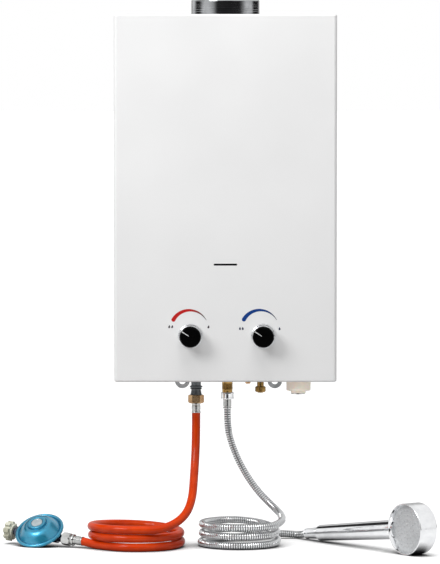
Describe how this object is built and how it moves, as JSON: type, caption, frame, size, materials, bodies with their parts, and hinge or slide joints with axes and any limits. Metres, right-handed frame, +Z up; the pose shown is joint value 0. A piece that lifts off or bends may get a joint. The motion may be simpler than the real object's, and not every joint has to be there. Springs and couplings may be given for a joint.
{
  "type": "portable propane water heater",
  "caption": "Wall-hung tankless gas water heater with round flue collar, two control knobs, gas hose with regulator, and shower hose with hand shower.",
  "frame": {"origin": "centre of the hanging hole in the back plate, on the plate's wall face", "axes": "+Z up, +Y into the wall along the hanging hole, +X to the right seen from the front"},
  "size_m": [0.6434, 0.2551, 0.814],
  "materials": {
    "white_enamel": "satin",
    "galvanised_sheet": "satin",
    "stainless_steel": "satin",
    "zinc_screw": "gloss",
    "copper": "satin",
    "turned_brass": "satin",
    "cast_aluminium": "matte",
    "dark_steel": "satin",
    "plated_steel": "gloss",
    "bright_chrome": "gloss",
    "black_knob": "gloss",
    "ivory_plastic": "satin",
    "black_plastic": "matte",
    "white_ceramic": "gloss",
    "rubber": "matte",
    "orange_rubber": "satin",
    "steel_hose": "gloss",
    "blue_lacquer": "gloss",
    "navy_lacquer": "gloss",
    "pale_casting": "satin",
    "grey_plate": "satin",
    "cell_wrap": "gloss"
  },
  "bodies": {
    "root": {"back_plate": "galvanised_sheet", "front_cover": "white_enamel", "flue_collar": "stainless_steel", "casing_screws": "zinc_screw", "draft_hood": "galvanised_sheet", "heat_exchanger_shell": "copper", "heat_exchanger_fins": "copper", "heat_exchanger_pipe": "copper", "burner_bars": "stainless_steel", "burner_frame": "galvanised_sheet", "gas_manifold": "cast_aluminium", "gas_jets": "turned_brass", "ignition_electrodes": "white_ceramic", "ignition_controller": "black_plastic", "ignition_leads": "rubber", "microswitch": "black_plastic", "gas_valve_body": "cast_aluminium", "gas_valve_spring": "stainless_steel", "solenoid_valve": "dark_steel", "gas_inlet_fitting": "dark_steel", "water_valve_body": "turned_brass", "water_valve_cover": "turned_brass", "water_diaphragm": "rubber", "inlet_filter": "stainless_steel", "water_inlet_fitting": "turned_brass", "cold_pipe": "copper", "hot_pipe": "copper", "hot_outlet_fitting": "turned_brass", "overheat_thermostat": "plated_steel", "battery_tube": "ivory_plastic", "battery_cells": "cell_wrap", "gas_hose_nut": "turned_brass", "gas_hose_ferrules": "plated_steel", "gas_hose": "orange_rubber", "gas_hose_coil": "orange_rubber", "regulator_dome": "blue_lacquer", "regulator_base": "navy_lacquer", "regulator_nut": "plated_steel", "regulator_diaphragm": "rubber", "shower_hose_nut": "bright_chrome", "shower_hose_ferrule": "plated_steel", "shower_hose": "steel_hose", "shower_hose_coil": "steel_hose", "shower_hose_end": "steel_hose", "handset_nut": "bright_chrome", "handset_body": "bright_chrome", "handset_face": "grey_plate"},
    "gas_control": {"gas_knob": "bright_chrome", "gas_knob_cap": "black_knob", "gas_spindle": "turned_brass"},
    "water_control": {"water_knob": "bright_chrome", "water_knob_cap": "black_knob", "water_spindle": "turned_brass"},
    "battery_closure": {"battery_cap": "ivory_plastic", "battery_spring": "stainless_steel"},
    "drain_needle": {"drain_stem": "turned_brass"},
    "drain_handle": {"drain_cap": "turned_brass"},
    "valve_rod": {"push_rod": "turned_brass"},
    "switch_lever": {"microswitch_lever": "stainless_steel"},
    "cylinder_handwheel": {"regulator_handwheel": "pale_casting"}
  },
  "joints": [
    {"name": "gas_knob_turn", "type": "hinge", "parent": "root", "child": "gas_control", "pos_m": [-0.052, -0.14, -0.4365], "axis": [0, -1, 0], "range_deg": [-119, 7]},
    {"name": "water_knob_turn", "type": "hinge", "parent": "root", "child": "water_control", "pos_m": [0.056, -0.14, -0.4365], "axis": [0, -1, 0], "range_deg": [-119, 7]},
    {"name": "battery_cap_turn", "type": "hinge", "parent": "root", "child": "battery_closure", "pos_m": [0.109, -0.107, -0.505], "axis": [0, 0, 1], "range_deg": [0, 70]},
    {"name": "drain_stem_travel", "type": "slide", "parent": "root", "child": "drain_needle", "axis": [0, 0, -1], "range_m": [0, 0.0021]},
    {"name": "drain_cap_turn", "type": "hinge", "parent": "drain_needle", "child": "drain_handle", "pos_m": [0.0525, -0.08, -0.52], "axis": [0, 0, -1], "range_deg": [0, 720]},
    {"name": "push_rod_travel", "type": "slide", "parent": "root", "child": "valve_rod", "axis": [-1, 0, 0], "range_m": [0, 0.003], "stiffness_N_per_m": 800, "deforming": ["gas_valve_spring"]},
    {"name": "switch_lever_tilt", "type": "hinge", "parent": "root", "child": "switch_lever", "pos_m": [-0.0075, -0.098, -0.4365], "axis": [0, 0, 1], "range_deg": [0, 15]},
    {"name": "handwheel_turn", "type": "hinge", "parent": "root", "child": "cylinder_handwheel", "pos_m": [-0.32116, -0.07588, -0.73445], "axis": [0.8808, -0.4683, -0.0698], "continuous": true}
  ],
  "couplings": [
    {"joint": "switch_lever_tilt", "follows": "push_rod_travel", "rad_per_m": 86.9},
    {"joint": "drain_stem_travel", "follows": "drain_cap_turn", "m_per_rad": 0.000159}
  ]
}
